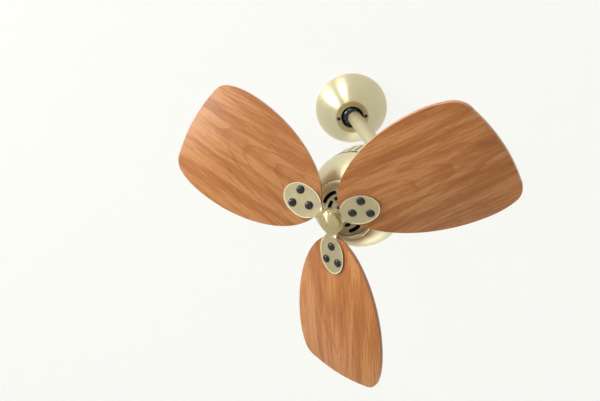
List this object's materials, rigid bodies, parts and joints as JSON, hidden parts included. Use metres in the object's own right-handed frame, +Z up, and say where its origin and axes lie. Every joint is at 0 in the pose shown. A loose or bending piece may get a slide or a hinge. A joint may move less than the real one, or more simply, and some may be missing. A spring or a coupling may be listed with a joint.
{
  "type": "ceiling fan",
  "caption": "Small ceiling fan with broad wooden leaf blades, a spun brass canopy with ball hanger, a leaning rod, a tilt knuckle and a vented motor head.",
  "frame": {"origin": "middle of the ceiling bracket's top face, on the ceiling", "axes": "+Z up out of the ceiling face; the rod leans and the knuckle bends in the XZ plane, and the knuckle's bolt runs along Y"},
  "size_m": [0.4256, 0.4527, 0.5629],
  "materials": {
    "brass_plate": "satin",
    "brass_casting": "satin",
    "bare_casting": "matte",
    "blade_wood": "satin",
    "dark_screw": "gloss",
    "black_plastic": "satin",
    "white_plastic": "satin",
    "bearing_bronze": "satin",
    "copper_winding": "satin",
    "plain_steel": "satin"
  },
  "bodies": {
    "ceiling_mount": {"ceiling_bracket": "plain_steel", "canopy": "brass_plate", "canopy_collar": "brass_plate", "collar_screws": "dark_screw"},
    "seat_liner": {"ball_seat_liner": "white_plastic"},
    "hanging_rod": {"hanger_ball": "black_plastic", "ball_pin": "plain_steel", "down_rod": "brass_plate", "knuckle_fork": "brass_casting", "fork_bolt": "dark_screw", "fork_nut": "dark_screw", "tilt_bolt": "dark_screw", "tilt_nut": "dark_screw", "tilt_washers": "plain_steel"},
    "fan_head": {"tilt_neck": "brass_casting", "neck_screws": "plain_steel", "top_cover": "brass_plate", "top_cover_screws": "plain_steel", "bell_housing": "brass_plate", "vent_cover": "brass_plate", "vent_cover_screws": "plain_steel", "front_shield": "bare_casting", "rear_shield": "bare_casting", "motor_bolts": "plain_steel", "stator_core": "plain_steel", "stator_windings": "copper_winding", "front_bush": "bearing_bronze", "rear_bush": "bearing_bronze", "capacitor": "black_plastic"},
    "rotor": {"rotor_shaft": "plain_steel", "rotor_core": "plain_steel", "shaft_collars": "plain_steel", "blade_spider": "brass_casting", "blade_1": "blade_wood", "blade_2": "blade_wood", "blade_3": "blade_wood", "blade_screws": "dark_screw", "blade_nuts": "plain_steel", "hub_washer": "brass_plate", "hub_nut": "brass_casting"}
  },
  "joints": [
    {"name": "ball_swing_side", "type": "hinge", "parent": "ceiling_mount", "child": "seat_liner", "pos_m": [0, 0, -0.037], "axis": [1, 0, 0], "range_deg": [-10, 10]},
    {"name": "ball_swing_lean", "type": "hinge", "parent": "seat_liner", "child": "hanging_rod", "pos_m": [0, 0, -0.037], "axis": [0, 1, 0], "range_deg": [-4.59, 31.41]},
    {"name": "head_tilt", "type": "hinge", "parent": "hanging_rod", "child": "fan_head", "pos_m": [0.05821, 0, -0.28116], "axis": [0, 1, 0], "range_deg": [-40.87, 19.13]},
    {"name": "rotor_spin", "type": "hinge", "parent": "fan_head", "child": "rotor", "pos_m": [-0.04462, 0, -0.47903], "axis": [0.4611, 0, 0.8873], "continuous": true}
  ]
}
